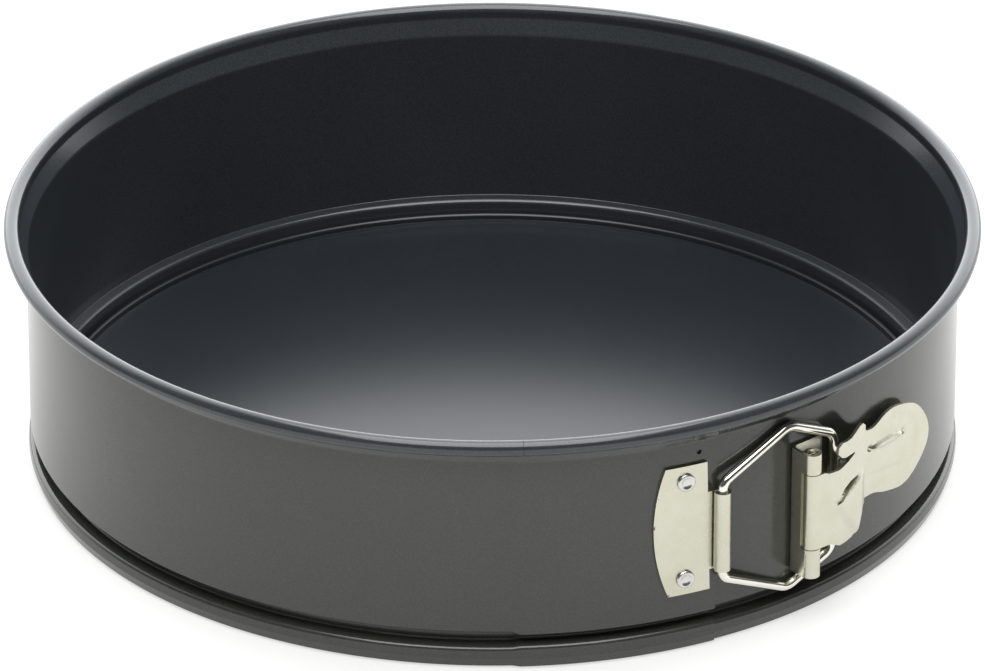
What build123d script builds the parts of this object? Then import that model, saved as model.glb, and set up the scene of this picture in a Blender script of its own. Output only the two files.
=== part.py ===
"""Springform cake pan: flat base, sprung side ring and over-centre clasp.

Millimetres, +Z up. The origin is on the resting plane under the middle of the
base, and the clasp is centred on -Y. Round the ring, a bearing of 0 is -Y and
bearings grow towards +X.
"""
from build123d import *
from math import cos, radians, sin, sqrt
import os

os.makedirs("parts", exist_ok=True)

# ---- side ring -------------------------------------------------------------
inner_r = 130.0            # 26 cm pan
ring_sheet = 0.6
lap_gap = 0.1              # between the two layers of the lap
wall_r = inner_r + ring_sheet / 2
lip_low = 63.3             # the wall flares between these heights, up to the rolled rim
lip_high = 67.9
lip_out = 2.3
bead_r = 2.25 - ring_sheet / 2
bead_z = 69.45
bead_curl = 305.0          # how far the rim is rolled round, in degrees
groove_r = 126.55          # bottom of the groove, in the middle of the sheet
groove_high = 10.8
groove_low = 6.0
foot_top = 5.7
foot_lip = 0.4             # how far the foot stands out of the wall at its top
foot_bulge = 0.6
foot_z = 3.0
foot_tuck = 0.3
bend_r = 1.2
back_bearing = 180.0
seam_bearing = -30.5       # where the two rim ends butt
tongue_end = -6.6          # free end of the outer layer
tongue_top = 63.0
end_gap = 0.05             # half of each butt gap, in degrees
joggle = 1.3               # length of the step out to the outer layer, in degrees
joggle_low = 14.5          # the step joins the two layers between these heights
joggle_high = 62.5
vent_r = 0.7
vent_bearing = -8.95
vent_z = 60.0

# ---- base ------------------------------------------------------------------
base_sheet = 0.8
base_bend = 0.45
skirt_r = 128.8            # radii and heights are those of the middle of the sheet
flange_z = 4.5
flange_in = 126.75
rib_out = 125.2
rib_in = 124.5
rib_z = 7.2
floor_r = 124.3
floor_z = 5.5

# ---- clasp -----------------------------------------------------------------
clasp_z = 35.6
plate_z = 37.2             # the riveted plates sit a little above the clasp
plate_sheet = 0.9
seat_gap = 0.05
plate_half = 19.7
rivet_half = 14.9
bracket_plate_half = 9.5   # the bracket's plate is short enough to sit behind the lever
bracket_rivet_half = 5.6
rivet_r = 1.25
rivet_head_r = 2.6
rivet_head = 0.9
head_chamfer = 0.4
dish_r = 1.8               # the ball that dishes a rivet's head
dish_up = 1.4              # from the head's top to the ball's middle
catch_rivet_bearing = -10.8
bracket_rivet_bearing = 11.7
plate_corner = 30.0        # the riveted plates' bowed ends, measured across from the lap's side
plate_bulge = 33.7
running = 0.05             # radial clearance of every pivot

wire_r = 1.4
catch_bearing = -6.3
catch_half = 12.0
catch_neck = 17.7          # where the catch narrows to its roll
catch_curl = 294.0
seat_bearing = 16.0        # the plates' blanks reach past their bowed ends, to here
catch_roll = wire_r + running + plate_sheet / 2
catch_seat = inner_r + 2 * ring_sheet + lap_gap + seat_gap + plate_sheet / 2
catch_r = catch_seat + catch_roll

pin_r = 1.6
pin_bearing = 5.05
pin_radius = 137.5
roll_r = pin_r + running + plate_sheet / 2
pin_end = 0.3              # the pin stops this far inside the bracket's rolls
knuckle_curl = 300.0
bracket_half = 18.4
bracket_neck = 20.2        # where the bracket narrows to its rolls
bracket_tip = 5.0          # beyond the rolls
riser_bend = 1.5
notch_r = 3.0              # room for the lever's knuckle between the rolls
lever_half = 11.4
side_play = 0.25
bracket_seat = inner_r + ring_sheet + seat_gap + plate_sheet / 2

bail_reach = 37.74         # catch axis to the far leg of the bail
bail_bearing = 9.95        # bearing of that leg
bail_leg_r = 133.3
bail_shoulder = 14.6
bail_waist = 25.0
bail_waist_at = 22.3
bail_corner = 19.6
bail_bend = 3.5
bail_ends = 0.4            # half of the gap between the wire's ends

# The lever is laid out from the pin: along the clasp, and out from the ring.
body_end = 7.5             # the raised body is level up to here
crease_at = 21.8           # top of the small step before the tab
crease_out = -3.8
step_at = 23.2             # foot of that step
step_out = -5.7
tab_end = 56.5
tab_end_out = -15.9
lever_bend = 0.8
ear_low = 16.2             # the ears' reach below and above the clasp's middle
ear_high = 17.8
ear_end = 22.4
slit_at = (12.4, 12.2)     # the cut between the body and its upper ear
slit_size = (9.0, 0.8)
slit_tilt = 4.0
lance_at = (12.8, 1.1)     # the slanting slot in the body
lance_size = (11.0, 0.8)
lance_tilt = 25.0
tab_at = 42.6              # middle of the thumb tab, along from the pin
tab_rise = 3.6
tab_half_length = 12.4
tab_half_height = 13.4


def polar(radius, bearing):
    """Point at a bearing round the ring."""
    angle = radians(bearing)
    return Vector(radius * sin(angle), -radius * cos(angle), 0)


def radial_plane(bearing):
    """Plane through the pan's axis, with x outward and y up."""
    out = polar(1, bearing)
    return Plane(origin=(0, 0, 0), x_dir=out, z_dir=out.cross(Vector(0, 0, 1)))


def outward_plane(radius, bearing, height):
    """Plane that faces outward, with x along the ring and y up."""
    out = polar(1, bearing)
    spot = polar(radius, bearing) + Vector(0, 0, height)
    return Plane(origin=spot, x_dir=Vector(0, 0, 1).cross(out), z_dir=out)


def compass(bearing):
    """Angle from +X of a bearing, in degrees."""
    return bearing - 90


pin_plane = outward_plane(pin_radius, pin_bearing, 0)


def from_pin(along, out):
    """Point in plan, measured from the hinge pin along and out from the ring."""
    return pin_plane.origin + pin_plane.x_dir * along + pin_plane.z_dir * out


def foot_and_groove(extra=0.0):
    """Corners of the side sheet, or of a layer outside it, from the resting plane up."""
    return [
        (wall_r - foot_tuck + extra, ring_sheet / 2),
        (wall_r + foot_bulge + extra, foot_z),
        (wall_r + foot_lip + extra, foot_top + extra),
        (groove_r + extra, groove_low + extra),
        (groove_r + extra, groove_high - extra),
        (wall_r + extra, groove_high - extra),
    ]


def beaded_line():
    """Middle of the side sheet, with its flared lip and its rim rolled outward."""
    FilletPolyline(
        *foot_and_groove(),
        (wall_r, lip_low),
        (wall_r + lip_out, lip_high),
        (wall_r + lip_out, bead_z),
        radius=bend_r,
    )
    CenterArc((wall_r + lip_out + bead_r, bead_z), bead_r, 180, -bead_curl)


def tongue_line():
    """The outer layer of the lap, which stops below the lip."""
    extra = ring_sheet + lap_gap
    FilletPolyline(*foot_and_groove(extra), (wall_r + extra, tongue_top), radius=bend_r)


def turned(outline, start, end):
    """Turn a sheet outline round the pan's axis from one bearing to another."""
    with BuildSketch(radial_plane(start)) as section:
        with BuildLine():
            outline()
        trace(line_width=ring_sheet)
    revolve(section.sketch, axis=Axis.Z, revolution_arc=end - start)


def drill(radius, bearing, height, depth=6.0):
    """A round hole through the sheet, square to the ring."""
    with Locations(outward_plane(inner_r, bearing, height)):
        Cylinder(radius, depth, mode=Mode.SUBTRACT)


def rivet(seat, tail, bearing, height):
    """A rivet with a dished head on a plate, its tail flush with the sheet."""
    with BuildPart() as piece:
        with Locations(outward_plane(seat, bearing, height)):
            Cylinder(rivet_head_r, rivet_head, align=(Align.CENTER, Align.CENTER, Align.MIN))
        far_out = polar(2 * seat, bearing) + Vector(0, 0, height)
        chamfer(piece.faces().sort_by_distance(far_out)[0].edges(), head_chamfer)
        with Locations(outward_plane(seat + rivet_head + dish_up, bearing, height)):
            Sphere(dish_r, mode=Mode.SUBTRACT)
        with Locations(outward_plane(tail, bearing, height)):
            Cylinder(rivet_r, seat - tail + running, align=(Align.CENTER, Align.CENTER, Align.MIN))
    return piece.part


# ---- base ------------------------------------------------------------------
with BuildPart() as base_plate:
    with BuildSketch(Plane.XZ):
        with BuildLine():
            FilletPolyline(
                (0, floor_z),
                (floor_r, floor_z),
                (rib_in, rib_z),
                (rib_out, rib_z),
                (flange_in, flange_z),
                (skirt_r, flange_z),
                (skirt_r, 0),
                radius=base_bend,
            )
        trace(line_width=base_sheet)
    revolve(axis=Axis.Z)

# ---- ring ------------------------------------------------------------------
with BuildPart() as band_right:
    turned(beaded_line, seam_bearing + end_gap, back_bearing - end_gap / 2)
    for side in (-1, 1):
        drill(rivet_r + running, bracket_rivet_bearing, clasp_z + side * bracket_rivet_half)

with BuildPart() as band_left:
    turned(beaded_line, back_bearing - 360 + end_gap / 2, seam_bearing - end_gap)
    turned(tongue_line, seam_bearing - joggle, tongue_end)
    with BuildSketch(radial_plane(seam_bearing - joggle)):
        with Locations((inner_r + ring_sheet + lap_gap / 2, (joggle_low + joggle_high) / 2)):
            Rectangle(ring_sheet, joggle_high - joggle_low)
    revolve(axis=Axis.Z, revolution_arc=joggle - end_gap)
    for side in (-1, 1):
        drill(rivet_r + running, catch_rivet_bearing, plate_z + side * rivet_half)
    drill(vent_r, vent_bearing, vent_z)

# ---- catch: a riveted plate rolled round the bail --------------------------
catch_axis = polar(catch_r, catch_bearing)

with BuildPart() as catch_plate:
    with BuildSketch(Plane.XY.offset(plate_z - plate_half)):
        with BuildLine():
            CenterArc((0, 0), catch_seat, compass(-seat_bearing), seat_bearing + catch_bearing)
            CenterArc(catch_axis, catch_roll, compass(catch_bearing) + 180, -catch_curl)
        trace(line_width=plate_sheet)
    extrude(amount=2 * plate_half)
    with BuildSketch(Plane.XZ):
        with BuildLine():
            ThreePointArc(
                (-plate_corner, plate_z - plate_half),
                (-plate_bulge, plate_z),
                (-plate_corner, plate_z + plate_half),
            )
            Polyline(
                (-plate_corner, plate_z + plate_half),
                (-catch_neck, plate_z + plate_half),
                (-catch_neck, clasp_z + catch_half),
                (0, clasp_z + catch_half),
                (0, clasp_z - catch_half),
                (-catch_neck, clasp_z - catch_half),
                (-catch_neck, plate_z - plate_half),
                (-plate_corner, plate_z - plate_half),
            )
        make_face()
    extrude(amount=pin_radius + 2 * roll_r, mode=Mode.INTERSECT)
    for side in (-1, 1):
        drill(rivet_r + running, catch_rivet_bearing, plate_z + side * rivet_half)

# ---- bail: one bent wire, its ends meeting inside the rolled catch ---------
bail_foot = polar(catch_r, catch_bearing)
bail_leg = polar(bail_leg_r, bail_bearing)
bail_run = (bail_leg - bail_foot).normalized()
bail_plane = Plane(
    origin=bail_foot + Vector(0, 0, clasp_z),
    x_dir=bail_run,
    z_dir=bail_run.cross(Vector(0, 0, 1)),
)

with BuildPart() as bail:
    with BuildLine(bail_plane) as bail_wire:
        FilletPolyline(
            (0, -bail_ends),
            (0, -bail_shoulder),
            (bail_waist_at, -bail_waist),
            (bail_reach, -bail_corner),
            (bail_reach, bail_corner),
            (bail_waist_at, bail_waist),
            (0, bail_shoulder),
            (0, bail_ends),
            radius=bail_bend,
        )
    with BuildSketch(Plane(origin=bail_wire.line @ 0, z_dir=bail_wire.line % 0)):
        Circle(wire_r)
    sweep()

# ---- bracket: a riveted plate that rises and rolls round the pin ----------
seat_start = 6.0           # bearing at which the bracket is down on the ring
riser_foot = pin_radius - sqrt((bracket_seat + riser_bend) ** 2 - (riser_bend - roll_r) ** 2)
riser_top = from_pin(-roll_r, 0)
riser_low = from_pin(-roll_r, -riser_foot)
bend_middle = from_pin(riser_bend - roll_r, -riser_foot)
bend_end = bend_middle * (bracket_seat / bend_middle.length)
pin_axis = from_pin(0, 0)

with BuildPart() as lever_bracket:
    with BuildSketch(Plane.XY.offset(plate_z - plate_half)):
        with BuildLine():
            CenterArc(pin_axis, roll_r, compass(pin_bearing) - 90, knuckle_curl)
            Line(riser_top, riser_low)
            TangentArc(riser_low, bend_end, tangent=-pin_plane.z_dir)
            Line(bend_end, polar(bracket_seat, seat_start))
            CenterArc((0, 0), bracket_seat, compass(seat_start), seat_bearing - seat_start)
        trace(line_width=plate_sheet)
    extrude(amount=2 * plate_half)
    with BuildSketch(Plane.XZ):
        with BuildLine():
            ThreePointArc(
                (plate_corner, clasp_z - bracket_plate_half),
                (plate_bulge, plate_z),
                (plate_corner, clasp_z + bracket_plate_half),
            )
            Polyline(
                (plate_corner, clasp_z + bracket_plate_half),
                (bracket_neck, clasp_z + bracket_plate_half),
                (bracket_neck, clasp_z + bracket_half),
                (bracket_tip, clasp_z + bracket_half),
                (bracket_tip, clasp_z - bracket_half),
                (bracket_neck, clasp_z - bracket_half),
                (bracket_neck, clasp_z - bracket_plate_half),
                (plate_corner, clasp_z - bracket_plate_half),
            )
        make_face()
    extrude(amount=pin_radius + 2 * roll_r, mode=Mode.INTERSECT)
    with Locations((pin_axis.X, pin_axis.Y, clasp_z)):
        Cylinder(notch_r, 2 * (lever_half + side_play), mode=Mode.SUBTRACT)
    for side in (-1, 1):
        drill(rivet_r + running, bracket_rivet_bearing, clasp_z + side * bracket_rivet_half)

with BuildPart() as hinge_pin:
    with Locations((pin_axis.X, pin_axis.Y, clasp_z)):
        Cylinder(pin_r, 2 * (bracket_half - pin_end))

# ---- lever: rolled knuckle, stepped body with two ears, round thumb tab ----
with BuildPart() as lever:
    with BuildSketch(Plane.XY.offset(clasp_z - plate_half)):
        with BuildLine():
            CenterArc(pin_axis, roll_r, compass(pin_bearing), -knuckle_curl)
            FilletPolyline(
                from_pin(0, roll_r),
                from_pin(body_end, roll_r),
                from_pin(crease_at, crease_out),
                from_pin(step_at, step_out),
                from_pin(tab_end, tab_end_out),
                radius=lever_bend,
            )
        trace(line_width=plate_sheet)
    extrude(amount=2 * plate_half)
    with BuildSketch(outward_plane(pin_radius + plate_half, pin_bearing, clasp_z)):
        with BuildLine():
            Polyline(
                (-4.0, -lever_half),
                (7.0, -lever_half),
                (11.0, -15.2),
                (ear_end, -ear_low),
                (step_at, -5.6),
                (31.0, -8.6),
                (31.0, 16.0),
                (step_at, 15.2),
                (ear_end, ear_high),
                (9.6, 15.8),
                (7.0, lever_half),
                (-4.0, lever_half),
                (-4.0, -lever_half),
            )
        make_face()
        with Locations((tab_at, tab_rise)):
            Ellipse(tab_half_length, tab_half_height)
        with Locations(slit_at):
            Rectangle(*slit_size, rotation=slit_tilt, mode=Mode.SUBTRACT)
        with Locations(lance_at):
            SlotOverall(*lance_size, rotation=lance_tilt, mode=Mode.SUBTRACT)
    extrude(amount=-pin_radius / 2, mode=Mode.INTERSECT)

# ---- rivets ----------------------------------------------------------------
catch_outer = catch_seat + plate_sheet / 2 + seat_gap
bracket_outer = bracket_seat + plate_sheet / 2 + seat_gap
flush = 0.02               # rivet tails stop this far inside the sheet
lap_inner = inner_r + ring_sheet + lap_gap + flush

pieces = {
    "base_plate": base_plate.part,
    "band_right": band_right.part,
    "band_left": band_left.part,
    "catch_plate": catch_plate.part,
    "bail": bail.part,
    "lever_bracket": lever_bracket.part,
    "hinge_pin": hinge_pin.part,
    "lever": lever.part,
}
for place, side in (("lower", -1), ("upper", 1)):
    catch_height = plate_z + side * rivet_half
    bracket_height = clasp_z + side * bracket_rivet_half
    pieces["catch_rivet_" + place] = rivet(catch_outer, lap_inner, catch_rivet_bearing, catch_height)
    pieces["bracket_rivet_" + place] = rivet(
        bracket_outer, inner_r + flush, bracket_rivet_bearing, bracket_height
    )

for name, piece in pieces.items():
    piece.label = name
    export_step(piece, "parts/" + name + ".step")
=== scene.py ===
"""Looks of the springform pan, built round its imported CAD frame.

Metres, in the frame's own axes. Shapes are worked out in millimetres and
scaled once when a mesh is made. Bearings go round the ring from -Y towards +X.
"""

import bmesh
import bpy
import math
import numpy as np
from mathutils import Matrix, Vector
from mathutils.geometry import delaunay_2d_cdt


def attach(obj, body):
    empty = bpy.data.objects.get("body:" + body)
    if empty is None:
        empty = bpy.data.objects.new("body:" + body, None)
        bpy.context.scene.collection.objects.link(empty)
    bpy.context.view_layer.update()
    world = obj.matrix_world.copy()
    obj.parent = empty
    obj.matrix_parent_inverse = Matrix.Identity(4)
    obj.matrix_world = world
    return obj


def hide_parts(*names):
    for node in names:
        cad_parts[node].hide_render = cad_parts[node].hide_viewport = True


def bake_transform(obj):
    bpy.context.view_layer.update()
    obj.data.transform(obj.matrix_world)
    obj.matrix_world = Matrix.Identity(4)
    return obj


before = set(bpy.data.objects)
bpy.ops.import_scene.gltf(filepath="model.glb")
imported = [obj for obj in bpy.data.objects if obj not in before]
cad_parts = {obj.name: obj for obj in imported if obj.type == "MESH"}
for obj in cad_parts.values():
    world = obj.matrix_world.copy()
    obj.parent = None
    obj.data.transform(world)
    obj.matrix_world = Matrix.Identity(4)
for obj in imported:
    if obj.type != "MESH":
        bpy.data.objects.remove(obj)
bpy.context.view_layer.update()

MM = 0.001

# ---- sizes shared with the frame, in millimetres ---------------------------
RING_SHEET = 0.6
LAP_GAP = 0.1
WALL_R = 130.3             # middle of the side sheet
LIP_LOW = 63.3
LIP_HIGH = 67.9
LIP_OUT = 2.3
BEAD_R = 1.94
BEAD_Z = 69.45
SEAM = -30.5
TONGUE_END = -6.6
VENT_BEARING = -8.95
VENT_Z = 60.0
VENT_R = 0.75

CLASP_Z = 35.6
PLATE_Z = 37.2
PLATE_SHEET = 0.9
PLATE_HALF = 19.7
RIVET_HALF = 14.9
BRACKET_PLATE_HALF = 9.5
BRACKET_RIVET_HALF = 5.6
CATCH_BEARING = -6.3
CATCH_SEAT = 131.8
CATCH_ROLL = 1.9
CATCH_HALF = 12.0
PIN_BEARING = 5.05
PIN_RADIUS = 137.5
ROLL = 2.1
BRACKET_SEAT = 131.1
KNUCKLE_LOW = 20.3         # the bracket's rolls reach this far below the clasp's middle
KNUCKLE_HIGH = 17.6        # and this far above it
LEVER_HALF = 11.4
WIRE_R = 1.4
BAIL_REACH = 37.74


# ---- outlines --------------------------------------------------------------
def arc(middle, radius, start, turn, step=9.0):
    """Points along an arc; start and turn in degrees."""
    count = max(2, int(abs(turn) / step) + 1)
    angles = np.radians(start + turn * np.linspace(0.0, 1.0, count + 1))
    return [(middle[0] + radius * math.cos(a), middle[1] + radius * math.sin(a)) for a in angles]


def rounded(corners, radii, step=9.0):
    """Polyline with its inner corners rounded."""
    corners = [np.array(c, float) for c in corners]
    points = [tuple(corners[0])]
    for before, corner, after, radius in zip(corners, corners[1:], corners[2:], radii):
        back = (before - corner) / np.linalg.norm(before - corner)
        ahead = (after - corner) / np.linalg.norm(after - corner)
        half = 0.5 * math.acos(float(np.clip(back @ ahead, -1.0, 1.0)))
        if radius <= 0 or half > 1.55:
            points.append(tuple(corner))
            continue
        middle = corner + (back + ahead) / np.linalg.norm(back + ahead) * radius / math.sin(half)
        first = corner + back * radius / math.tan(half) - middle
        last = corner + ahead * radius / math.tan(half) - middle
        start = math.degrees(math.atan2(first[1], first[0]))
        turn = math.degrees(math.atan2(last[1], last[0])) - start
        turn = (turn + 180.0) % 360.0 - 180.0
        points.extend(arc(middle, radius, start, turn, step))
    points.append(tuple(corners[-1]))
    return points


def divided(points, longest):
    """The same polyline with no run longer than a length."""
    out = [points[0]]
    for a, b in zip(points, points[1:]):
        run = math.dist(a, b)
        if run < 1e-6:
            continue
        parts = max(1, math.ceil(run / longest))
        out.extend(tuple(np.array(a) + (np.array(b) - a) * k / parts) for k in range(1, parts + 1))
    return out


def smooth(points, parts=3):
    """Catmull-Rom curve through points, with its ends where theirs are."""
    spots = [np.array(p, float) for p in points]
    spots = [2 * spots[0] - spots[1]] + spots + [2 * spots[-1] - spots[-2]]
    out = []
    for before, start, end, after in zip(spots, spots[1:], spots[2:], spots[3:]):
        for k in range(parts):
            t = k / parts
            bend = 2 * start + (end - before) * t + (2 * before - 5 * start + 4 * end - after) * t * t
            bend += (3 * start - before - 3 * end + after) * t ** 3
            out.append((float(bend[0]) / 2, float(bend[1]) / 2))
    out.append((float(spots[-2][0]), float(spots[-2][1])))
    return out


def edge_normals(points):
    """Unit normal to the left of a polyline at each of its points."""
    line = np.array(points, float)
    ahead = np.gradient(line, axis=0)
    ahead /= np.linalg.norm(ahead, axis=1)[:, None]
    return np.stack([-ahead[:, 1], ahead[:, 0]], axis=1)


def polar(radius, bearing):
    """Point in plan at a bearing round the ring."""
    a = math.radians(bearing)
    return np.array([radius * math.sin(a), -radius * math.cos(a)])


def compass(bearing):
    """Angle from +X of a bearing, in degrees."""
    return bearing - 90.0


PIN = polar(PIN_RADIUS, PIN_BEARING)
OUT = polar(1.0, PIN_BEARING)
ALONG = np.array([-OUT[1], OUT[0]])


def from_pin(along, out):
    """Point in plan, measured from the hinge pin."""
    return PIN + ALONG * along + OUT * out


# ---- meshes ----------------------------------------------------------------
LIGHT_TINT_ATTRIBUTE = "front_light_tint"        # mesh attribute that is 1 on the outer face below the lip, where the coating takes its warm front-lit colour, a painted tint of the front light
# height below which the outer face gets the painted front-light tint; lip and rim keep the darker
# painted shaded colour
FRONT_LIGHT_TINT_TOP = LIP_LOW + 0.5
SAME_SIDE = 0.6            # a face turned further than this from its surface is a cut end
OUTLINE_STEP = 0.5         # longest edge along a plate's outline
CLEAR_OF_RIM = 0.3         # least distance of a plate's inner points from its outline
PLATE_ROW = 2.0            # spacing of a plate's inner points
END_TRIM = 0.02            # keeps an outline just inside the ends of its sheet
EDGE_ROUND = 0.13          # rounding of the plates' cut edges
HUB = 0.06                 # radius at which a turned profile is closed by a flat end


def new_piece(name, points, faces, body, material):
    """A piece from points in millimetres, riding on a body."""
    mesh = bpy.data.meshes.new(name)
    mesh.from_pydata([tuple(float(c) * MM for c in p) for p in points], [], faces)
    mesh.validate()
    work = bmesh.new()
    work.from_mesh(mesh)
    bmesh.ops.recalc_face_normals(work, faces=work.faces)
    work.to_mesh(mesh)
    work.free()
    mesh.polygons.foreach_set("use_smooth", [True] * len(mesh.polygons))
    mesh.materials.append(material)
    piece = bpy.data.objects.new(name, mesh)
    bpy.context.scene.collection.objects.link(piece)
    if body:
        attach(piece, body)
    return piece


def shade(piece, normals):
    """Shades a piece by the true normals of its surface, and its cut ends flat."""
    mesh = piece.data
    loops = [Vector((0.0, 0.0, 1.0))] * len(mesh.loops)
    for polygon in mesh.polygons:
        for k in polygon.loop_indices:
            true = Vector(normals[mesh.loops[k].vertex_index])
            loops[k] = true if true.dot(polygon.normal) > SAME_SIDE else polygon.normal.copy()
    mesh.normals_split_custom_set(loops)


def soften(piece):
    """Rounds a plate's cut edges, so that they catch the light."""
    bevel = piece.modifiers.new("edges", "BEVEL")
    bevel.width = EDGE_ROUND * MM
    bevel.segments = 2
    bevel.limit_method = "ANGLE"
    bevel.angle_limit = math.radians(35.0)
    bevel.harden_normals = True


def sheet_section(line, thickness):
    """Closed outline of a sheet whose middle is a polyline."""
    normals = edge_normals(line)
    middle = np.array(line, float)
    left = middle + normals * thickness / 2
    right = middle - normals * thickness / 2
    return np.concatenate([left, right[::-1]])


def section_normals(section):
    """Outward normals of a sheet's section, which runs up one side and down the other."""
    half = len(section) // 2
    left = edge_normals(section[:half])
    return np.concatenate([left, -left[::-1]])


def pierce(points, faces, around, ring, spot):
    """Opens a round hole, as wide as the mesh's spacing there, about a point of a turned sheet."""
    steps = [(-1, -1), (0, -1), (1, -1), (1, 0), (1, 1), (0, 1), (-1, 1), (-1, 0)]
    outer_middle = ring * around + spot
    inner_middle = ring * around + around - 1 - spot
    outer = [(ring + a) * around + spot + b for a, b in steps]
    inner = [(ring + a) * around + around - 1 - spot - b for a, b in steps]
    for middle, loop in ((outer_middle, outer), (inner_middle, inner)):
        centre = np.array(points[middle])
        for k in loop[::2]:
            points[k] = tuple(centre + (np.array(points[k]) - centre) * math.sqrt(0.5))
    kept = [face for face in faces if outer_middle not in face and inner_middle not in face]
    for k in range(len(steps)):
        n = (k + 1) % len(steps)
        kept.append((outer[k], outer[n], inner[n], inner[k]))
    return kept


def turned_piece(name, section_at, bearings, body, material, hole=None):
    """Turns a sheet's section, which may change with the bearing, round the pan's axis.

    hole gives the bearing and the height of a small round hole through it.
    """
    points, normals, faces, front_light_tint = [], [], [], []
    for bearing in bearings:
        section = section_at(bearing)
        for k, ((r, z), (nr, nz)) in enumerate(zip(section, section_normals(section))):
            points.append((*polar(r, bearing), z))
            normals.append((*polar(nr, bearing), nz))
            # 1 on the outer face below the lip: the painted front-light tint
            front_light_tint.append(float(k >= len(section) // 2 and z < FRONT_LIGHT_TINT_TOP))
    around = len(section_at(bearings[0]))
    rings = len(bearings)
    for ring in range(rings - 1):
        a = ring * around
        b = (ring + 1) * around
        for k in range(around):
            n = (k + 1) % around
            faces.append((a + k, a + n, b + n, b + k))
    faces.append(tuple(range(around))[::-1])
    faces.append(tuple(range((rings - 1) * around, rings * around)))
    if hole:
        ring = int(np.argmin(np.abs(np.array(bearings) - hole[0])))
        heights = np.array(section_at(hole[0]))[:around // 2, 1]
        faces = pierce(points, faces, around, ring, int(np.argmin(np.abs(heights - hole[1]))))
        used = sorted({k for face in faces for k in face})
        order = {k: n for n, k in enumerate(used)}
        faces = [tuple(order[k] for k in face) for face in faces]
        points = [points[k] for k in used]
        normals = [normals[k] for k in used]
        front_light_tint = [front_light_tint[k] for k in used]
    piece = new_piece(name, points, faces, body, material)
    piece.data.attributes.new(LIGHT_TINT_ATTRIBUTE, "FLOAT", "POINT").data.foreach_set("value", front_light_tint)
    shade(piece, normals)
    return piece


def inside(point, loop):
    """Whether a point is inside a closed loop."""
    x, y = point
    hit = False
    for (ax, ay), (bx, by) in zip(loop, loop[1:] + loop[:1]):
        if (ay > y) != (by > y) and x < (bx - ax) * (y - ay) / (by - ay) + ax:
            hit = not hit
    return hit


def formed_sheet(
    name, spine, outline, holes, relief, row, body, material, grid_span=None, fine=None
):
    """Bent plate: a flat outline in (length along the spine, height), wrapped round the spine.

    relief(s, z) raises the sheet to the left of the spine. row is the spacing of the inner
    points in height, and fine the spacing where the length is within grid_span.
    """
    spine = np.array(spine, float)
    steps = np.linalg.norm(np.diff(spine, axis=0), axis=1)
    lengths = np.concatenate([[0.0], np.cumsum(steps)])
    normals = edge_normals(spine)
    loops = [divided(loop + loop[:1], OUTLINE_STEP)[:-1] for loop in [outline] + holes]
    flat, edges = [], []
    for loop in loops:
        start = len(flat)
        flat.extend(loop)
        edges.extend((start + k, start + (k + 1) % len(loop)) for k in range(len(loop)))
    rim = np.array(flat)
    low, high = rim.min(axis=0), rim.max(axis=0)
    columns = [s for s in lengths if low[0] < s < high[0]]
    for s in columns:
        size = row
        if grid_span and grid_span[0] < s < grid_span[1]:
            size = fine
        for z in np.arange(low[1] + size / 2, high[1], size):
            if np.min(np.abs(rim - (s, z)).max(axis=1)) < CLEAR_OF_RIM:
                continue
            if inside((s, z), loops[0]) and not any(inside((s, z), hole) for hole in loops[1:]):
                flat.append((float(s), float(z)))
    found = delaunay_2d_cdt([Vector(p) for p in flat], edges, [], 0, 1e-5)
    places, triangles = [tuple(v) for v in found[0]], found[2]
    kept = []
    for triangle in triangles:
        centre = np.mean([places[k] for k in triangle], axis=0)
        if inside(centre, loops[0]) and not any(inside(centre, hole) for hole in loops[1:]):
            kept.append(triangle)
    used = sorted({k for triangle in kept for k in triangle})
    order = {k: n for n, k in enumerate(used)}
    kept = [tuple(order[k] for k in triangle) for triangle in kept]
    count = len(used)
    front, back = [], []
    for k in used:
        s, z = places[k]
        x = np.interp(s, lengths, spine[:, 0])
        y = np.interp(s, lengths, spine[:, 1])
        nx = np.interp(s, lengths, normals[:, 0])
        ny = np.interp(s, lengths, normals[:, 1])
        size = math.hypot(nx, ny)
        lift = relief(s, z) if relief else 0.0
        for side, pile in ((0.5, front), (-0.5, back)):
            shift = (lift + side * PLATE_SHEET) / size
            pile.append((x + nx * shift, y + ny * shift, z))
    faces = list(kept)
    faces += [tuple(count + k for k in triangle[::-1]) for triangle in kept]
    uses = {}
    for triangle in kept:
        for a, b in zip(triangle, triangle[1:] + triangle[:1]):
            uses.setdefault((min(a, b), max(a, b)), []).append((a, b))
    for pair in uses.values():
        if len(pair) == 1:
            a, b = pair[0]
            faces.append((b, a, count + a, count + b))
    return new_piece(name, front + back, faces, body, material)


def tube_along(name, line, radius, body, material, around=20):
    """Round wire along a 3-D polyline, with softened ends."""
    line = np.array(line, float)
    ahead = np.gradient(line, axis=0)
    ahead /= np.linalg.norm(ahead, axis=1)[:, None]
    flat_normal = np.cross(line[len(line) // 3] - line[0], line[len(line) // 2] - line[0])
    flat_normal /= np.linalg.norm(flat_normal)
    points, faces = [], []
    end_scale, end_push = 0.6, 0.3
    rings = [(0, end_scale, -end_push)]
    rings += [(k, 1.0, 0.0) for k in range(len(line))]
    rings += [(len(line) - 1, end_scale, end_push)]
    for k, scale, push in rings:
        side = np.cross(ahead[k], flat_normal)
        side /= np.linalg.norm(side)
        for turn in range(around):
            a = 2 * math.pi * turn / around
            spoke = side * math.cos(a) + flat_normal * math.sin(a)
            points.append(line[k] + ahead[k] * push + spoke * radius * scale)
    for ring in range(len(rings) - 1):
        for turn in range(around):
            n = (turn + 1) % around
            a, b = ring * around, (ring + 1) * around
            faces.append((a + turn, a + n, b + n, b + turn))
    faces.append(tuple(range(around)))
    faces.append(tuple(range((len(rings) - 1) * around, len(rings) * around)))
    return new_piece(name, points, faces, body, material)


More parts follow.
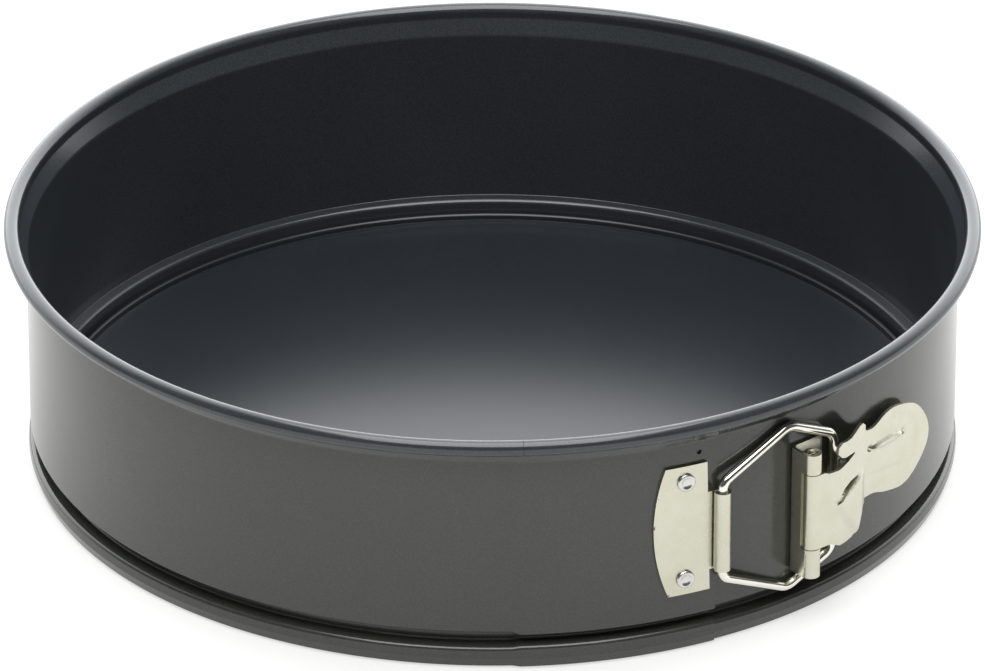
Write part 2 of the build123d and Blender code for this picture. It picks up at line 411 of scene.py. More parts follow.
# ---- materials -------------------------------------------------------------
def graph(name):
    """A new node material with its Principled shader and a maker of nodes."""
    material = bpy.data.materials.new(name)
    material.use_nodes = True
    tree = material.node_tree
    shader = tree.nodes["Principled BSDF"]

    def node(kind, **settings):
        made = tree.nodes.new(kind)
        for key, value in settings.items():
            if key in made.inputs:
                made.inputs[key].default_value = value
            else:
                setattr(made, key.lower(), value)
        return made

    return material, tree, shader, node


def ramp(node, tree, source, stops):
    """Colour ramp fed by a value."""
    made = node("ShaderNodeValToRGB")
    band = made.color_ramp
    while len(band.elements) < len(stops):
        band.elements.new(0.5)
    for element, (place, colour) in zip(band.elements, stops):
        element.position = place
        element.color = (*colour, 1.0) if len(colour) == 3 else colour
    tree.links.new(source, made.inputs["Fac"])
    return made


def coating(name, shaded_inside_colour, front_lit_colour, rough, ior):
    """Satin non-stick coating: fine flecks, a soft cloudiness and an orange-peel skin.

    The warm front-lit colour goes where the mesh's own front-light tint value is 1, and the darker,
    bluer shaded colour goes elsewhere: painted light and shade on one coating.
    """
    material, tree, shader, node = graph(name)
    place = node("ShaderNodeTexCoord")
    fleck = node("ShaderNodeTexNoise", Scale=2600.0, Detail=2.0, Roughness=0.7)
    cloud = node("ShaderNodeTexNoise", Scale=22.0, Detail=3.0, Roughness=0.5)
    peel = node("ShaderNodeTexNoise", Scale=900.0, Detail=3.0, Roughness=0.6)
    for texture in (fleck, cloud, peel):
        tree.links.new(place.outputs["Object"], texture.inputs["Vector"])
    # mix of the painted shaded colour and the painted front-lit colour
    side = node("ShaderNodeAttribute", attribute_name=LIGHT_TINT_ATTRIBUTE)
    painted_light_mix = node("ShaderNodeMix", data_type="RGBA")
    painted_light_mix.inputs["A"].default_value = (*shaded_inside_colour, 1.0)
    painted_light_mix.inputs["B"].default_value = (*front_lit_colour, 1.0)
    tree.links.new(side.outputs["Fac"], painted_light_mix.inputs["Factor"])
    spread = ramp(node, tree, fleck.outputs["Fac"], [(0.32, (0.72,) * 3), (0.70, (1.38,) * 3)])
    base = node("ShaderNodeMix", data_type="RGBA", blend_type="MULTIPLY")
    base.inputs["Factor"].default_value = 1.0
    tree.links.new(painted_light_mix.outputs["Result"], base.inputs["A"])
    tree.links.new(spread.outputs["Color"], base.inputs["B"])
    haze = ramp(node, tree, cloud.outputs["Fac"], [(0.3, (0.93,) * 3), (0.7, (1.07,) * 3)])
    mix = node("ShaderNodeMix", data_type="RGBA", blend_type="MULTIPLY")
    mix.inputs["Factor"].default_value = 1.0
    tree.links.new(base.outputs["Result"], mix.inputs["A"])
    tree.links.new(haze.outputs["Color"], mix.inputs["B"])
    tree.links.new(mix.outputs["Result"], shader.inputs["Base Color"])
    gloss = node("ShaderNodeMapRange")
    gloss.inputs["To Min"].default_value = rough - 0.03
    gloss.inputs["To Max"].default_value = rough + 0.04
    tree.links.new(fleck.outputs["Fac"], gloss.inputs["Value"])
    tree.links.new(gloss.outputs["Result"], shader.inputs["Roughness"])
    bump = node("ShaderNodeBump", Strength=0.12, Distance=0.00004)
    tree.links.new(peel.outputs["Fac"], bump.inputs["Height"])
    tree.links.new(bump.outputs["Normal"], shader.inputs["Normal"])
    shader.inputs["IOR"].default_value = ior
    return material


def plated(name, colour, rough, mottle=0.06, grain=(40.0, 40.0, 900.0)):
    """Bright plating over rolled sheet: faint rolling lines, cloudy tone and small scuffs."""
    material, tree, shader, node = graph(name)
    place = node("ShaderNodeTexCoord")
    stretch = node("ShaderNodeMapping")
    stretch.inputs["Scale"].default_value = grain
    tree.links.new(place.outputs["Object"], stretch.inputs["Vector"])
    lines = node("ShaderNodeTexNoise", Scale=3.0, Detail=4.0, Roughness=0.65)
    tree.links.new(stretch.outputs["Vector"], lines.inputs["Vector"])
    cloud = node("ShaderNodeTexNoise", Scale=150.0, Detail=3.0, Roughness=0.55)
    scuff = node("ShaderNodeTexNoise", Scale=700.0, Detail=5.0, Roughness=0.7)
    for texture in (cloud, scuff):
        tree.links.new(place.outputs["Object"], texture.inputs["Vector"])
    warm = tuple(c * (1 - mottle) * w for c, w in zip(colour, (1.0, 0.99, 0.95)))
    base = ramp(node, tree, cloud.outputs["Fac"], [(0.32, warm), (0.68, colour)])
    tree.links.new(base.outputs["Color"], shader.inputs["Base Color"])
    gloss = node("ShaderNodeMapRange")
    gloss.inputs["From Min"].default_value = 0.35
    gloss.inputs["From Max"].default_value = 0.65
    gloss.inputs["To Min"].default_value = rough - 0.01
    gloss.inputs["To Max"].default_value = rough + 0.03
    tree.links.new(scuff.outputs["Fac"], gloss.inputs["Value"])
    tree.links.new(gloss.outputs["Result"], shader.inputs["Roughness"])
    bump = node("ShaderNodeBump", Strength=0.06, Distance=0.00003)
    tree.links.new(lines.outputs["Fac"], bump.inputs["Height"])
    dents = node("ShaderNodeBump", Strength=0.03, Distance=0.0002)
    tree.links.new(cloud.outputs["Fac"], dents.inputs["Height"])
    tree.links.new(bump.outputs["Normal"], dents.inputs["Normal"])
    tree.links.new(dents.outputs["Normal"], shader.inputs["Normal"])
    shader.inputs["Metallic"].default_value = 1.0
    return material


# The ring's inner colour is darker and bluer and its outer colour warmer: painted shade and painted
# tints of the back and front light on one coating.
ring_coat = coating("ring_coating", (0.029, 0.033, 0.038), (0.037, 0.039, 0.032), 0.17, 1.55)
base_coat = coating("base_coating", (0.015, 0.018, 0.022), (0.015, 0.018, 0.022), 0.25, 1.47)
plate_metal = plated("plated_steel", (0.565, 0.557, 0.466), 0.28, mottle=0.05)
wire_metal = plated("plated_wire", (0.76, 0.75, 0.69), 0.12, grain=(40.0, 40.0, 40.0))
rivet_metal = plated("rivet_metal", (0.62, 0.62, 0.62), 0.26, grain=(40.0, 40.0, 40.0))


# ---- side ring -------------------------------------------------------------
GROOVE_R = 126.55
GROOVE_HIGH = 10.8
GROOVE_LOW = 6.0
FOOT_TOP = 5.7
FOOT_LIP = 0.4             # the foot stands out from the wall by this at its top
FOOT_BULGE = 0.6           # by this at FOOT_MIDDLE
FOOT_MIDDLE = 3.0
FOOT_TUCK = 0.3            # and lies in by this at its lower edge
FOOT_LOW = 0.3
GROOVE_BENDS = [1.2, 1.0, 0.9, 0.9, 0.5]
LIP_BENDS = [2.0, 1.6]
BEAD_CURL = 305.0
BUTT_GAP = 0.02            # bearing from the seam to each end of the beaded sheet


def foot_and_groove(extra):
    """Corners of the side sheet from its foot up, as (radius, height)."""
    return [
        (WALL_R - FOOT_TUCK + extra, FOOT_LOW),
        (WALL_R + FOOT_BULGE + extra, FOOT_MIDDLE),
        (WALL_R + FOOT_LIP + extra, FOOT_TOP + extra),
        (GROOVE_R + extra, GROOVE_LOW + extra),
        (GROOVE_R + extra, GROOVE_HIGH - extra),
        (WALL_R + extra, GROOVE_HIGH - extra),
    ]


def beaded_section(_):
    """Section of the sheet with its flared lip and rolled rim."""
    rim_in = WALL_R + LIP_OUT
    corners = foot_and_groove(0.0) + [(WALL_R, LIP_LOW), (rim_in, LIP_HIGH), (rim_in, BEAD_Z)]
    line = rounded(corners, GROOVE_BENDS + LIP_BENDS, 10.0)[:-1]
    line = line + arc((rim_in + BEAD_R, BEAD_Z), BEAD_R, 180.0, -BEAD_CURL, 8.0)
    return sheet_section(line, RING_SHEET)


def ring_span(start, end, step=1.25):
    """Bearings from start to end, evenly spaced."""
    return list(np.linspace(start, end, max(2, round(abs(end - start) / step) + 1)))


# The back of the ring, from BACK_START to BACK_END, is a piece of its own that rides on no body.
BACK_START, BACK_END = 163.0, 197.0
ring_right = turned_piece(
    "ring_right", beaded_section, ring_span(SEAM + BUTT_GAP, BACK_START),
    "right_band", ring_coat,
)
ring_back = turned_piece(
    "ring_back", beaded_section, ring_span(BACK_START, BACK_END), None, ring_coat
)
ring_left = turned_piece(
    "ring_left", beaded_section, ring_span(BACK_END, 360.0 + SEAM - BUTT_GAP),
    "left_band", ring_coat,
)
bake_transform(ring_back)

JOGGLE = 1.3               # bearing over which the tongue steps out of the wall
TONGUE_CLEAR = 0.01
TONGUE_FLARE = (1.65, 3.3)     # how far out and up the tongue follows the lip
TONGUE_BEND = 2.0


def tongue_section(bearing):
    """Section of the outer layer of the lap, which steps out of the wall at the seam."""
    step = min(1.0, max(0.02, (bearing - SEAM + JOGGLE) / JOGGLE))
    step = step * step * (3.0 - 2.0 * step)
    extra = (RING_SHEET + LAP_GAP) * step + TONGUE_CLEAR
    wall = WALL_R + extra
    corners = foot_and_groove(extra) + [
        (wall, VENT_Z - VENT_R), (wall, VENT_Z), (wall, VENT_Z + VENT_R), (wall, LIP_LOW),
        (wall + TONGUE_FLARE[0], LIP_LOW + TONGUE_FLARE[1]),
    ]
    vent_bends = [0.0, 0.0, 0.0]
    line = rounded(corners, GROOVE_BENDS + vent_bends + [TONGUE_BEND], 10.0)
    return sheet_section(line, RING_SHEET)


vent_reach = math.degrees(VENT_R / WALL_R)
tongue_bearings = (
    ring_span(SEAM - JOGGLE, SEAM, 0.16)[:-1] + ring_span(SEAM, VENT_BEARING - vent_reach, 0.8)
    + [VENT_BEARING] + ring_span(VENT_BEARING + vent_reach, TONGUE_END, 0.8)
)
turned_piece(
    "ring_tongue", tongue_section, tongue_bearings, "left_band", ring_coat,
    hole=(VENT_BEARING, VENT_Z),
)
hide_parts("band_right")
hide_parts("band_left")


# ---- base ------------------------------------------------------------------
BASE_SHEET = 0.8
BASE_SPOKES = 288
BASE_BEND = 0.45
FLOOR_Z = 5.5              # heights and radii of the middle of the sheet
FLOOR_R = 124.2
RIB_Z = 7.2
RIB_IN = 124.4
RIB_OUT = 125.1
FLANGE_Z = 4.5
FLANGE_IN = 126.65
SKIRT_R = 128.75
SKIRT_LOW = 0.05


def base_section():
    """Middle line of the base from the middle out: floor, rim rib, flange and turned-down edge."""
    corners = [
        (0.0, FLOOR_Z), (FLOOR_R, FLOOR_Z), (RIB_IN, RIB_Z), (RIB_OUT, RIB_Z),
        (FLANGE_IN, FLANGE_Z), (SKIRT_R, FLANGE_Z), (SKIRT_R, SKIRT_LOW),
    ]
    return divided(rounded(corners, [BASE_BEND] * 5, 12.0), 12.0)


def make_base():
    """The base as one closed turned sheet."""
    line = np.array(base_section())
    normals = edge_normals(line)
    top = line + normals * BASE_SHEET / 2
    under = line - normals * BASE_SHEET / 2
    top[0][0] = under[0][0] = 0.0
    loop = np.concatenate([top[1:], under[1:][::-1]])
    count = BASE_SPOKES
    points = [(0.0, 0.0, top[0][1]), (0.0, 0.0, under[0][1])]
    for k in range(count):
        for r, z in loop:
            x, y = polar(r, 360.0 * k / count)
            points.append((x, y, z))
    size = len(loop)
    turned_normals = np.concatenate([normals[1:], -normals[1:][::-1]])
    shades = [(0.0, 0.0, 1.0), (0.0, 0.0, -1.0)]
    shades += [(*polar(nr, 360.0 * k / count), nz) for k in range(count) for nr, nz in turned_normals]
    faces = []
    for k in range(count):
        a = 2 + k * size
        b = 2 + (k + 1) % count * size
        for n in range(size - 1):
            faces.append((a + n, a + n + 1, b + n + 1, b + n))
        faces.append((0, a, b))
        faces.append((1, b + size - 1, a + size - 1))
    piece = new_piece("base_sheet", points, faces, "base", base_coat)
    shade(piece, shades)
    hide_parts("base_plate")


make_base()


# ---- catch -----------------------------------------------------------------
CATCH_AXIS = polar(CATCH_SEAT + CATCH_ROLL, CATCH_BEARING)
CATCH_CURL = 294.0
CATCH_SKEW = 0.028         # the plate sits askew, by this much along for each millimetre up
CATCH_NECK = 17.9
PLATE_CORNER = 30.0        # distances of the plates' free edges from the middle of the clasp
PLATE_BULGE = 33.7
PLATE_REACH = 34.2         # where the sheet that they are cut from ends


def clasp_outline(s_edge, s_bulge, s_neck, s_end, half, middle, plate_half, mirror=1):
    """Riveted plate's flat outline: bowed free edge, straight ends and the rolled part.

    The first four values are lengths along the sheet. half is the rolled part's reach below
    and above the clasp's middle. mirror is -1 when the lengths run towards the free edge.
    """
    chord = 2 * plate_half
    depth = abs(s_edge - s_bulge)
    radius = (chord * chord / 4 + depth * depth) / (2 * depth)
    sweep = math.degrees(math.asin(chord / 2 / radius))
    bow = []
    for k in range(-10, 11):
        a = math.radians(sweep * k / 10)
        bow.append((s_bulge + (radius - radius * math.cos(a)) * mirror, middle - radius * math.sin(a)))
    return bow + [
        (s_neck, middle - plate_half),
        (s_neck, CLASP_Z - half[0]),
        (s_end, CLASP_Z - half[0]),
        (s_end, CLASP_Z + half[1]),
        (s_neck, CLASP_Z + half[1]),
        (s_neck, middle + plate_half),
    ]


def bearing_at_x(radius, x):
    """Bearing of the point of a circle at a given x."""
    return math.degrees(math.asin(x / radius))


def make_catch():
    """Catch plate: seated on the tongue and rolled round the bail."""
    first = bearing_at_x(CATCH_SEAT, -PLATE_REACH)
    seat = arc((0.0, 0.0), CATCH_SEAT, compass(first), CATCH_BEARING - first, 0.5)
    roll = arc(CATCH_AXIS, CATCH_ROLL, compass(CATCH_BEARING) + 180.0, -CATCH_CURL, 10.0)
    spine = seat + roll[1:]
    scale = math.radians(1.0) * CATCH_SEAT
    total = (CATCH_BEARING - first) * scale
    s_of = lambda x: (bearing_at_x(CATCH_SEAT, x) - first) * scale
    end = total + CATCH_ROLL * math.radians(CATCH_CURL) - 0.05
    flat = clasp_outline(
        s_of(-PLATE_CORNER), s_of(-PLATE_BULGE), s_of(-CATCH_NECK), end, (CATCH_HALF, CATCH_HALF),
        PLATE_Z, PLATE_HALF,
    )
    outline = []
    for s, z in flat:
        on_plate = s < total - 2.0
        outline.append((max(END_TRIM, s - CATCH_SKEW * (z - PLATE_Z) * on_plate), z))
    piece = formed_sheet(
        "catch", spine, outline[::-1], [], None, PLATE_ROW, "left_band", plate_metal
    )
    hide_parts("catch_plate")
    soften(piece)


make_catch()


# ---- bail ------------------------------------------------------------------
BAIL_LEG = polar(133.3, 9.95)
BAIL_BENDS = [3.2, 5.0, 4.2, 4.2, 5.0, 3.2]


def make_bail():
    """The bail as one bent wire, its ends meeting inside the catch."""
    # Corners in (length from the catch, height above the clasp's middle).
    corners = [
        (0.0, -0.8), (0.0, -14.6), (22.3, -25.0), (BAIL_REACH, -17.8),
        (BAIL_REACH, 17.8), (22.3, 25.0), (0.0, 14.6), (0.0, 0.8),
    ]
    flat = divided(rounded(corners, BAIL_BENDS, 7.0), 1.5)
    run = (BAIL_LEG - CATCH_AXIS) / np.linalg.norm(BAIL_LEG - CATCH_AXIS)
    line = [(*(CATCH_AXIS + run * u), CLASP_Z + v) for u, v in flat]
    piece = tube_along("bail_wire", line, WIRE_R, "bail", wire_metal)
    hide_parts("bail")


make_bail()


# ---- bracket ---------------------------------------------------------------
BRACKET_CURL_START = -120.0
RISER_BEND = 1.5
BRACKET_NECK = 20.2
SIDE_PLAY = 0.25           # gap between the lever and each roll beside it
NOTCH_PAST_ROLL = 1.6


def make_bracket():
    """Bracket: seated on the ring, rising beside the pin and rolled round it in two knuckles."""
    corner = from_pin(-ROLL, -(PIN_RADIUS - BRACKET_SEAT))
    seat_start = bearing_at_x(BRACKET_SEAT, corner[0] + RISER_BEND + 0.6)
    last = bearing_at_x(BRACKET_SEAT, PLATE_REACH)
    seat = arc((0.0, 0.0), BRACKET_SEAT, compass(seat_start), last - seat_start, 0.5)
    # The roll starts inside the pin and runs round its outer side to the riser.
    curl = [tuple(from_pin(ROLL * math.cos(math.radians(a)), ROLL * math.sin(math.radians(a))))
            for a in np.arange(BRACKET_CURL_START, 180.1, 10.0)]
    riser = rounded([curl[-1], tuple(corner), seat[0]], [RISER_BEND])
    spine = curl + divided(riser[1:], 1.0) + seat[1:]
    steps = np.linalg.norm(np.diff(np.array(spine), axis=0), axis=1)
    lengths = np.concatenate([[0.0], np.cumsum(steps)])
    total = float(lengths[-1])
    scale = math.radians(1.0) * BRACKET_SEAT
    s_of = lambda x: total - (last - bearing_at_x(BRACKET_SEAT, x)) * scale
    s_curl = float(lengths[len(curl) - 1])
    gap = LEVER_HALF + SIDE_PLAY
    plate = clasp_outline(
        s_of(PLATE_CORNER), s_of(PLATE_BULGE), s_of(BRACKET_NECK), END_TRIM,
        (KNUCKLE_LOW, KNUCKLE_HIGH), CLASP_Z, BRACKET_PLATE_HALF, mirror=-1,
    )
    # The lever's notch is let into the rolled end, between the plate's last corners.
    notch = s_curl + NOTCH_PAST_ROLL
    outline = plate[:-4] + [
        (END_TRIM, CLASP_Z - KNUCKLE_LOW), (END_TRIM, CLASP_Z - gap), (notch, CLASP_Z - gap),
        (notch, CLASP_Z + gap), (END_TRIM, CLASP_Z + gap), (END_TRIM, CLASP_Z + KNUCKLE_HIGH),
    ] + plate[-2:]
    outline = [(min(total - END_TRIM, s), z) for s, z in outline]
    piece = formed_sheet(
        "bracket", spine, outline, [], None, PLATE_ROW, "right_band", plate_metal
    )
    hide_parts("lever_bracket")
    soften(piece)


make_bracket()


# ---- lever -----------------------------------------------------------------
LEVER_BENDS = [9.0, 0.9, 1.1]
LEVER_CURL = 300.0
KNUCKLE_LENGTH = ROLL * math.radians(LEVER_CURL)

# Places on the lever are (length past the top of its knuckle, height above the clasp's middle).
SPINDLE = np.array((28.4, 6.9)), np.array((45.4, 4.9))     # long ridge pressed in the tab
GROOVE = np.array((28.2, -1.4)), np.array((45.0, -5.1))    # faint groove under it
FACET = np.array((6.2, 0.0)), np.array((15.1, -10.8))      # left edge of the body's facet
FACET_START, FACET_STOP = 4.0, 22.8
FACET_SLOPE = 0.24
SPINDLE_HEIGHT, SPINDLE_HALF = 0.75, 1.25
PIT_DEPTH, PIT_R = 1.1, 0.8
GROOVE_DEPTH, GROOVE_HALF = 0.3, 0.7
FACET_HEIGHT = 1.1
TAB_MARGIN_HEIGHT = 0.45
TAB_MARGIN_START = 40.0
TAB_MARGIN_MIDDLE = (42.0, 1.5)
TAB_MARGIN_R = 10.1
EAR_ROOT = (16.0, 11.8)
LEVER_ROW, LEVER_FINE_ROW = 1.2, 0.7     # spacings of the mesh on the knuckle and beyond it
LEVER_PAST_END = 70.0


def along_and_off(spot, segment):
    """How far a point is along a segment, from 0 to 1, and how far off it to the left."""
    start, end = segment
    run = end - start
    size = np.linalg.norm(run)
    return (spot - start) @ run / size / size, (spot - start) @ np.array((-run[1], run[0])) / size


def soft_step(value, width):
    """Smooth step from 0 to 1 about zero."""
    return 1.0 / (1.0 + math.exp(-value / width))


def lever_relief(s, z):
    """Height pressed into the lever's sheet at a place."""
    spot = np.array((s, z))
    lift = 0.0
    # The spindle, with a pit at each end.
    t, off = along_and_off(spot, SPINDLE)
    if 0.0 < t < 1.0:
        width = SPINDLE_HALF * math.sin(math.pi * t) ** 0.6 + 0.1
        lift += SPINDLE_HEIGHT * max(0.0, 1.0 - (off / width) ** 2)
    for pit in SPINDLE:
        lift -= PIT_DEPTH * math.exp(-(math.dist(spot, pit) / PIT_R) ** 2)
    # The groove.
    t, off = along_and_off(spot, GROOVE)
    if 0.0 < t < 1.0:
        lift -= GROOVE_DEPTH * math.exp(-(off / GROOVE_HALF) ** 2) * math.sin(math.pi * t)
    # The raised margin round the tab.
    if s > TAB_MARGIN_START:
        reach = min(1.0, (s - TAB_MARGIN_START) / 4.0)
        past = math.dist(spot, TAB_MARGIN_MIDDLE) - TAB_MARGIN_R
        lift += TAB_MARGIN_HEIGHT * reach * soft_step(past, 0.35)
    # The facet, to the lower right of the lanced slot.
    if FACET_START < s < FACET_STOP:
        off = along_and_off(spot, FACET)[1]
        below_slot = FACET_SLOPE * (s - FACET[0][0]) + 0.4 - z
        reach = min(1.0, (FACET_STOP - s) / 3.5) * soft_step(below_slot, 0.5)
        lift += FACET_HEIGHT * reach * soft_step(off, 0.4)
    # The upper ear turns a little outward at its tip.
    if s < EAR_ROOT[0] and z > EAR_ROOT[1]:
        lift += 0.05 * (EAR_ROOT[0] - s) * min(1.0, (z - EAR_ROOT[1]) / 2.0)
    return lift


def make_lever():
    """Lever: knuckle, raised body with two ears and a lanced slot, step, and thumb tab."""
    curl = [(ROLL * math.cos(math.radians(a)), ROLL * math.sin(math.radians(a)))
            for a in np.arange(90.0 + LEVER_CURL, 89.9, -10.0)]
    corners = [(0.0, ROLL), (7.5, ROLL), (21.8, -3.8), (23.2, -5.7), (56.5, -15.9)]
    run = divided(rounded(corners, LEVER_BENDS, 6.0), 0.9)
    spine = [tuple(from_pin(*p)) for p in curl + run[1:]]
    lower = [
        (END_TRIM - KNUCKLE_LENGTH, -LEVER_HALF), (4.6, -LEVER_HALF), (6.0, -12.0), (8.5, -13.3),
        (12.4, -13.9), (15.6, -14.0), (17.2, -13.2), (18.2, -11.2), (19.2, -8.8), (21.0, -7.2),
        (23.4, -6.8),
    ]
    tab = smooth([
        (25.8, -7.0), (30.5, -7.6), (36.3, -9.8), (42.7, -11.3), (48.5, -10.8), (54.0, -7.6),
        (57.5, -3.8), (58.4, 0.4), (56.7, 5.0), (52.6, 10.0), (47.9, 12.8), (42.1, 14.5),
        (36.3, 14.6), (32.0, 13.4), (29.2, 13.0), (26.4, 13.6),
    ])
    upper_ear = [
        (24.6, 15.2), (22.6, 17.4), (21.4, 18.4), (19.6, 18.4), (17.1, 17.6), (14.4, 17.1),
        (11.1, 17.6), (8.6, 18.4), (6.9, 17.6), (6.6, 15.8), (8.4, 13.9), (11.1, 12.7),
        (14.6, 12.1), (16.7, 11.8),
    ]
    body_top = [
        (16.7, 11.4), (13.0, 10.6), (8.0, 10.4), (4.0, 10.7), (2.4, LEVER_HALF),
        (END_TRIM - KNUCKLE_LENGTH, LEVER_HALF),
    ]
    slot = [
        (6.4, 0.1), (8.3, 1.8), (10.8, 3.2), (14.4, 3.9), (18.4, 4.0), (16.5, 3.0), (12.4, 1.9),
        (8.7, 0.5),
    ]
    shift = lambda loop: [(s + KNUCKLE_LENGTH, z + CLASP_Z) for s, z in loop]
    piece = formed_sheet(
        "lever_arm", spine, shift(lower + tab + upper_ear + body_top), [shift(slot)],
        lambda s, z: -lever_relief(s - KNUCKLE_LENGTH, z - CLASP_Z), LEVER_ROW,
        "lever", plate_metal,
        grid_span=(KNUCKLE_LENGTH + FACET_START, KNUCKLE_LENGTH + LEVER_PAST_END),
        fine=LEVER_FINE_ROW,
    )
    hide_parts("lever")
    soften(piece)


make_lever()


# ---- rivets and pin --------------------------------------------------------
def lathe(name, profile, origin, axis, body, material, around=40):
    """Turns a profile of (radius, height) round an axis."""
    axis = Vector(axis).normalized()
    turn = axis.to_track_quat("Z", "X").to_matrix()
    points, faces = [], []
    for r, h in profile:
        for k in range(around):
            a = 2 * math.pi * k / around
            spot = turn @ Vector((r * math.cos(a), r * math.sin(a), h))
            points.append(tuple(Vector(origin) + spot))
    for ring in range(len(profile) - 1):
        for k in range(around):
            n = (k + 1) % around
            a, b = ring * around, (ring + 1) * around
            faces.append((a + k, a + n, b + n, b + k))
    faces.append(tuple(range(around)))
    faces.append(tuple(range((len(profile) - 1) * around, len(profile) * around)))
    return new_piece(name, points, faces, body, material)


RIVET_HEAD = [
    (2.45, 0.0), (2.6, 0.12), (2.6, 0.45), (2.5, 0.68), (2.28, 0.84), (2.0, 0.9), (1.72, 0.84),
    (1.45, 0.66), (1.15, 0.52), (0.8, 0.43), (0.35, 0.39), (HUB, 0.38),
]
CATCH_RIVET_BEARING = -10.8
BRACKET_RIVET_BEARING = 11.7
CATCH_TAIL = 130.72        # radii of the rivets' flush tails
BRACKET_TAIL = 130.02
HEAD_SEAT = 0.48           # from the middle of a plate to the foot of a head
SHANK_R = 1.25
TAIL_R = 1.15


def make_rivet(node, bearing, seat, tail, height, body):
    """Rivet with a rolled, dished head; its tail is flush."""
    out = polar(1.0, bearing)
    origin = (*(out * seat), height)
    end = tail - seat
    shank = [(HUB, end), (TAIL_R, end), (SHANK_R, end + 0.1), (SHANK_R, 0.0)]
    piece = lathe(
        node + "_head", shank + RIVET_HEAD, origin, (*out, 0.0), body, rivet_metal
    )
    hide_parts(node)


for place, side in (("lower", -1), ("upper", 1)):
    catch_height = PLATE_Z + side * RIVET_HALF
    bracket_height = CLASP_Z + side * BRACKET_RIVET_HALF
    make_rivet(
        "catch_rivet_" + place, CATCH_RIVET_BEARING, CATCH_SEAT + HEAD_SEAT, CATCH_TAIL,
        catch_height, "left_band",
    )
    make_rivet(
        "bracket_rivet_" + place, BRACKET_RIVET_BEARING, BRACKET_SEAT + HEAD_SEAT, BRACKET_TAIL,
        bracket_height, "right_band",
    )

PIN_R = 1.6
PIN_CHAMFER = 0.4
PIN_END = 0.3              # the pin stops this far inside the rolls
pin_low, pin_high = PIN_END - KNUCKLE_LOW, KNUCKLE_HIGH - PIN_END
pin_profile = [
    (HUB, pin_low), (PIN_R - PIN_CHAMFER, pin_low), (PIN_R, pin_low + PIN_CHAMFER),
    (PIN_R, pin_high - PIN_CHAMFER), (PIN_R - PIN_CHAMFER, pin_high), (HUB, pin_high),
]
pin_piece = lathe(
    "pin_rod", pin_profile, (*PIN, CLASP_Z), (0, 0, 1), "right_band", wire_metal
)
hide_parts("hinge_pin")


# ---- stage -----------------------------------------------------------------
CAMERA_AZIMUTH = -34.0
CAMERA_ELEVATION = 28.46
CAMERA_DISTANCE = 2.6
AIM = Vector((0.0, 0.0, 0.0326))
LENS = 335.1

FLOOR_REACH = 6.0
FLOOR_DROP = 0.0004        # keeps the floor clear of the pan's foot
FLOOR_TONE = 0.34
FLOOR_GLOW = 0.62
GLOW_ELEVATION = 12.0      # the studio's back wall is brightest here, behind the pan
GLOW_FROM, GLOW_TO = 0.1, 0.98
GLOW_LOW, GLOW_HIGH = 0.10, 3.6
SOFTBOX_ELEVATION = 76.0
SOFTBOX_DISTANCE = 2.0
SOFTBOX_SIZE = (1.7, 2.2)
SOFTBOX_POWER = 62.0


def view_direction(azimuth, elevation):
    """Unit vector from the object towards a viewer."""
    a, e = math.radians(azimuth), math.radians(elevation)
    return Vector((math.sin(a) * math.cos(e), -math.cos(a) * math.cos(e), math.sin(e)))


def make_floor():
    """Pale floor, lit a little from within so that it stays as bright as its surroundings."""
    mesh = bpy.data.meshes.new("floor")
    reach = FLOOR_REACH
    mesh.from_pydata(
        [(-reach, -reach, 0), (reach, -reach, 0), (reach, reach, 0), (-reach, reach, 0)],
        [], [(0, 1, 2, 3)],
    )
    floor = bpy.data.objects.new("floor", mesh)
    floor.location.z = -FLOOR_DROP
    bpy.context.scene.collection.objects.link(floor)
    material, tree, shader, node = graph("pale_floor")
    shader.inputs["Base Color"].default_value = (FLOOR_TONE, FLOOR_TONE, FLOOR_TONE, 1.0)
    shader.inputs["Roughness"].default_value = 0.95
    shader.inputs["Emission Color"].default_value = (1.0, 1.0, 0.985, 1.0)
    shader.inputs["Emission Strength"].default_value = FLOOR_GLOW
    mesh.materials.append(material)


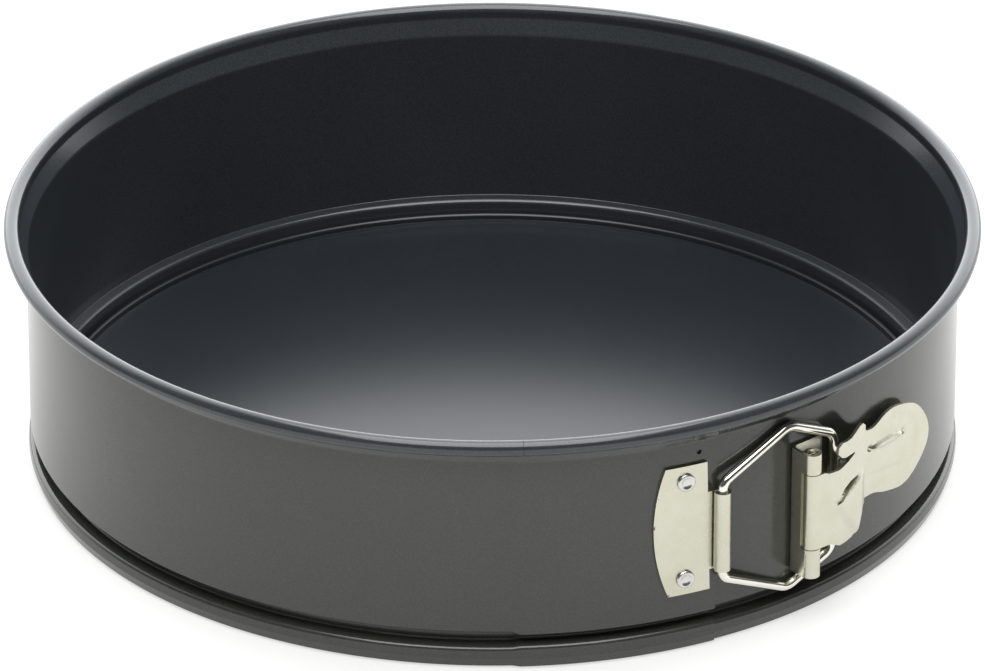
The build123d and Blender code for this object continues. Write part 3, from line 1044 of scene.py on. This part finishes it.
def make_studio():
    """Surroundings that glow behind the pan and fall dark in front of it."""
    world = bpy.data.worlds.new("studio")
    bpy.context.scene.world = world
    world.use_nodes = True
    tree = world.node_tree
    place = tree.nodes.new("ShaderNodeTexCoord")
    behind = tree.nodes.new("ShaderNodeVectorMath")
    behind.operation = "DOT_PRODUCT"
    behind.inputs[1].default_value = view_direction(CAMERA_AZIMUTH + 180.0, GLOW_ELEVATION)
    glow = tree.nodes.new("ShaderNodeMapRange")
    glow.interpolation_type = "SMOOTHSTEP"
    glow.inputs["From Min"].default_value = GLOW_FROM
    glow.inputs["From Max"].default_value = GLOW_TO
    glow.inputs["To Min"].default_value = GLOW_LOW
    glow.inputs["To Max"].default_value = GLOW_HIGH
    tree.links.new(place.outputs["Generated"], behind.inputs[0])
    tree.links.new(behind.outputs["Value"], glow.inputs["Value"])
    tree.links.new(glow.outputs["Result"], tree.nodes["Background"].inputs["Strength"])
    tree.nodes["Background"].inputs["Color"].default_value = (0.97, 0.99, 1.0, 1.0)


def make_camera():
    """Long lens, looking at the pan from its left and above."""
    lens = bpy.data.cameras.new("camera")
    lens.lens = LENS
    lens.sensor_width = 36.0
    lens.clip_end = 50.0
    camera = bpy.data.objects.new("camera", lens)
    camera.location = view_direction(CAMERA_AZIMUTH, CAMERA_ELEVATION) * CAMERA_DISTANCE
    camera.rotation_euler = (AIM - camera.location).to_track_quat("-Z", "Y").to_euler()
    bpy.context.scene.collection.objects.link(camera)
    bpy.context.scene.camera = camera


def make_softbox():
    """Large soft light overhead, leaning towards the camera and aimed at the pan."""
    lamp = bpy.data.lights.new("overhead_softbox", "AREA")
    lamp.shape = "RECTANGLE"
    lamp.size, lamp.size_y = SOFTBOX_SIZE
    lamp.energy = SOFTBOX_POWER
    light = bpy.data.objects.new("overhead_softbox", lamp)
    place = view_direction(CAMERA_AZIMUTH, SOFTBOX_ELEVATION) * SOFTBOX_DISTANCE
    light.location = place
    light.rotation_euler = (-place).to_track_quat("-Z", "Y").to_euler()
    bpy.context.scene.collection.objects.link(light)


make_floor()
make_studio()
make_camera()
make_softbox()
bpy.context.scene.view_settings.view_transform = "Standard"
